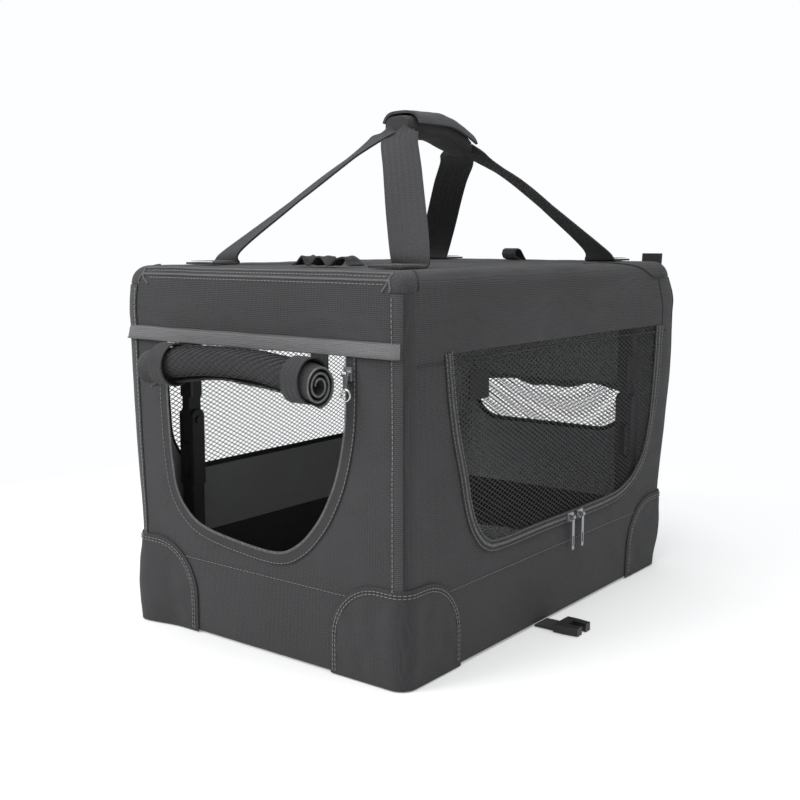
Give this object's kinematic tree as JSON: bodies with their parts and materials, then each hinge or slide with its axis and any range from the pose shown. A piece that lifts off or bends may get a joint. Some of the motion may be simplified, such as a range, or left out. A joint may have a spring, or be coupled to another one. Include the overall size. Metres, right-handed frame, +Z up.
{
  "type": "folding pet carrier",
  "caption": "Soft-sided folding pet carrier: fabric walls with mesh windows on a kneed tube frame, rolled front door, zipped side door and padded carrying handle.",
  "frame": {"origin": "middle of the base, on the surface that the carrier stands on", "axes": "+X along the length to the back end, -X to the front doorway, -Y to the zipped side door, +Z up"},
  "size_m": [0.5642, 0.3972, 0.5163],
  "materials": {
    "woven_fabric": "woven polyester, matt",
    "trim_fabric": "woven polyester, darker trim",
    "net": "open knitted net",
    "webbing": "ribbed webbing",
    "fleece": "soft pile, quilted",
    "frame_tube": "powder coated",
    "black_plastic": "moulded",
    "zip_metal": "dark plated"
  },
  "bodies": {
    "base": {"floor_panel": "woven_fabric", "base_band_front": "woven_fabric", "base_band_back": "woven_fabric", "base_band_left": "woven_fabric", "base_band_right": "woven_fabric", "corner_patch_front_left": "trim_fabric", "corner_patch_front_right": "trim_fabric", "corner_patch_back_left": "trim_fabric", "corner_patch_back_right": "trim_fabric", "base_board": "black_plastic", "floor_mat": "fleece", "base_ring": "frame_tube", "front_wall": "woven_fabric", "back_wall": "woven_fabric", "left_wall": "woven_fabric", "right_wall": "woven_fabric", "front_zip_tape": "trim_fabric", "side_zip_tape": "trim_fabric", "side_door_net": "net", "side_window_net": "net", "end_window_net": "net"},
    "front_lower_posts": {"lower_post_front_left": "frame_tube", "lower_post_front_right": "frame_tube"},
    "front_upper_posts": {"upper_post_front_left": "frame_tube", "upper_post_front_right": "frame_tube"},
    "rear_lower_posts": {"lower_post_rear_left": "frame_tube", "lower_post_rear_right": "frame_tube"},
    "rear_upper_posts": {"upper_post_rear_left": "frame_tube", "upper_post_rear_right": "frame_tube"},
    "roof": {"roof_panel": "woven_fabric", "roof_rim": "woven_fabric", "top_ring": "frame_tube", "rolled_front_door": "net", "roll_keeper_left": "webbing", "roll_keeper_right": "webbing", "gathered_strap": "webbing", "roof_pull_tab": "webbing", "rear_tab": "webbing", "handle_leg_front_left": "webbing", "handle_leg_front_right": "webbing", "handle_leg_rear_left": "webbing", "handle_leg_rear_right": "webbing"},
    "grip": {"grip_pad": "trim_fabric"},
    "grip_wrap": {"grip_wrap": "woven_fabric"},
    "base_strap": {"base_strap": "webbing", "buckle_half": "black_plastic"},
    "knee_button_front_left": {"knee_button_front_left": "black_plastic"},
    "knee_button_front_right": {"knee_button_front_right": "black_plastic"},
    "knee_button_rear_left": {"knee_button_rear_left": "black_plastic"},
    "knee_button_rear_right": {"knee_button_rear_right": "black_plastic"},
    "side_zip_a_slider": {"side_zip_a_slider": "zip_metal"},
    "side_zip_a_pull": {"side_zip_a_pull": "zip_metal"},
    "side_zip_b_slider": {"side_zip_b_slider": "zip_metal"},
    "side_zip_b_pull": {"side_zip_b_pull": "zip_metal"},
    "front_zip_left_slider": {"front_zip_left_slider": "zip_metal"},
    "front_zip_left_pull": {"front_zip_left_pull": "zip_metal"},
    "front_zip_right_slider": {"front_zip_right_slider": "zip_metal"},
    "front_zip_right_pull": {"front_zip_right_pull": "zip_metal"}
  },
  "joints": [
    {"name": "frame_fold", "type": "hinge", "parent": "base", "child": "front_lower_posts", "pos_m": [-0.19, 0, 0.032], "axis": [0, 1, 0], "range_deg": [0, 78], "deforming": ["front_wall", "back_wall", "left_wall", "right_wall", "front_zip_tape", "side_zip_tape", "side_door_net", "side_window_net", "end_window_net"]},
    {"name": "front_knee", "type": "hinge", "parent": "front_lower_posts", "child": "front_upper_posts", "pos_m": [-0.19, 0, 0.18], "axis": [0, 1, 0], "range_deg": [-156, 0]},
    {"name": "roof_level", "type": "hinge", "parent": "front_upper_posts", "child": "roof", "pos_m": [-0.19, 0, 0.328], "axis": [0, 1, 0], "range_deg": [0, 78]},
    {"name": "rear_fold", "type": "hinge", "parent": "base", "child": "rear_lower_posts", "pos_m": [0.19, 0, 0.032], "axis": [0, 1, 0], "range_deg": [-78, 0]},
    {"name": "rear_knee", "type": "hinge", "parent": "rear_lower_posts", "child": "rear_upper_posts", "pos_m": [0.19, 0, 0.18], "axis": [0, 1, 0], "range_deg": [0, 156]},
    {"name": "handle_lower", "type": "slide", "parent": "roof", "child": "grip", "axis": [0, 0, -1], "range_m": [0, 0.1], "deforming": ["handle_leg_front_left", "handle_leg_front_right", "handle_leg_rear_left", "handle_leg_rear_right"]},
    {"name": "wrap_open", "type": "hinge", "parent": "grip", "child": "grip_wrap", "pos_m": [0.018, 0.0228, 0.501], "axis": [-1, 0, 0], "range_deg": [0, 90]},
    {"name": "base_strap_lift", "type": "hinge", "parent": "base", "child": "base_strap", "pos_m": [-0.022, -0.1699, 0.0017], "axis": [-1, 0, 0], "range_deg": [0, 70]},
    {"name": "press_front_left", "type": "slide", "parent": "front_lower_posts", "child": "knee_button_front_left", "axis": [0, 1, 0], "range_m": [0, 0.0017], "stiffness_N_per_m": 200},
    {"name": "press_front_right", "type": "slide", "parent": "front_lower_posts", "child": "knee_button_front_right", "axis": [0, -1, 0], "range_m": [0, 0.0017], "stiffness_N_per_m": 200},
    {"name": "press_rear_left", "type": "slide", "parent": "rear_lower_posts", "child": "knee_button_rear_left", "axis": [0, 1, 0], "range_m": [0, 0.0017], "stiffness_N_per_m": 200},
    {"name": "press_rear_right", "type": "slide", "parent": "rear_lower_posts", "child": "knee_button_rear_right", "axis": [0, -1, 0], "range_m": [0, 0.0017], "stiffness_N_per_m": 200},
    {"name": "side_zip_a_run", "type": "slide", "parent": "base", "child": "side_zip_a_slider", "axis": [-1, 0, 0], "range_m": [0, 0.09]},
    {"name": "side_zip_a_swing", "type": "hinge", "parent": "side_zip_a_slider", "child": "side_zip_a_pull", "pos_m": [0.029, -0.176, 0.101], "axis": [-1, 0, 0], "range_deg": [0, 120]},
    {"name": "side_zip_b_run", "type": "slide", "parent": "base", "child": "side_zip_b_slider", "axis": [1, 0, 0], "range_m": [0, 0.065]},
    {"name": "side_zip_b_swing", "type": "hinge", "parent": "side_zip_b_slider", "child": "side_zip_b_pull", "pos_m": [0.049, -0.176, 0.101], "axis": [-1, 0, 0], "range_deg": [0, 120]},
    {"name": "front_zip_left_run", "type": "slide", "parent": "roof", "child": "front_zip_left_slider", "axis": [0, 0, -1], "range_m": [0, 0.008]},
    {"name": "front_zip_left_swing", "type": "hinge", "parent": "front_zip_left_slider", "child": "front_zip_left_pull", "pos_m": [-0.256, 0.127, 0.2725], "axis": [0, 1, 0], "range_deg": [0, 90]},
    {"name": "front_zip_right_run", "type": "slide", "parent": "roof", "child": "front_zip_right_slider", "axis": [0, 0, -1], "range_m": [0, 0.008]},
    {"name": "front_zip_right_swing", "type": "hinge", "parent": "front_zip_right_slider", "child": "front_zip_right_pull", "pos_m": [-0.256, -0.111, 0.2725], "axis": [0, 1, 0], "range_deg": [0, 90]}
  ],
  "couplings": [
    {"joint": "front_knee", "follows": "frame_fold", "ratio": -2},
    {"joint": "roof_level", "follows": "frame_fold", "ratio": 1},
    {"joint": "rear_fold", "follows": "frame_fold", "ratio": -1},
    {"joint": "rear_knee", "follows": "frame_fold", "ratio": 2}
  ]
}
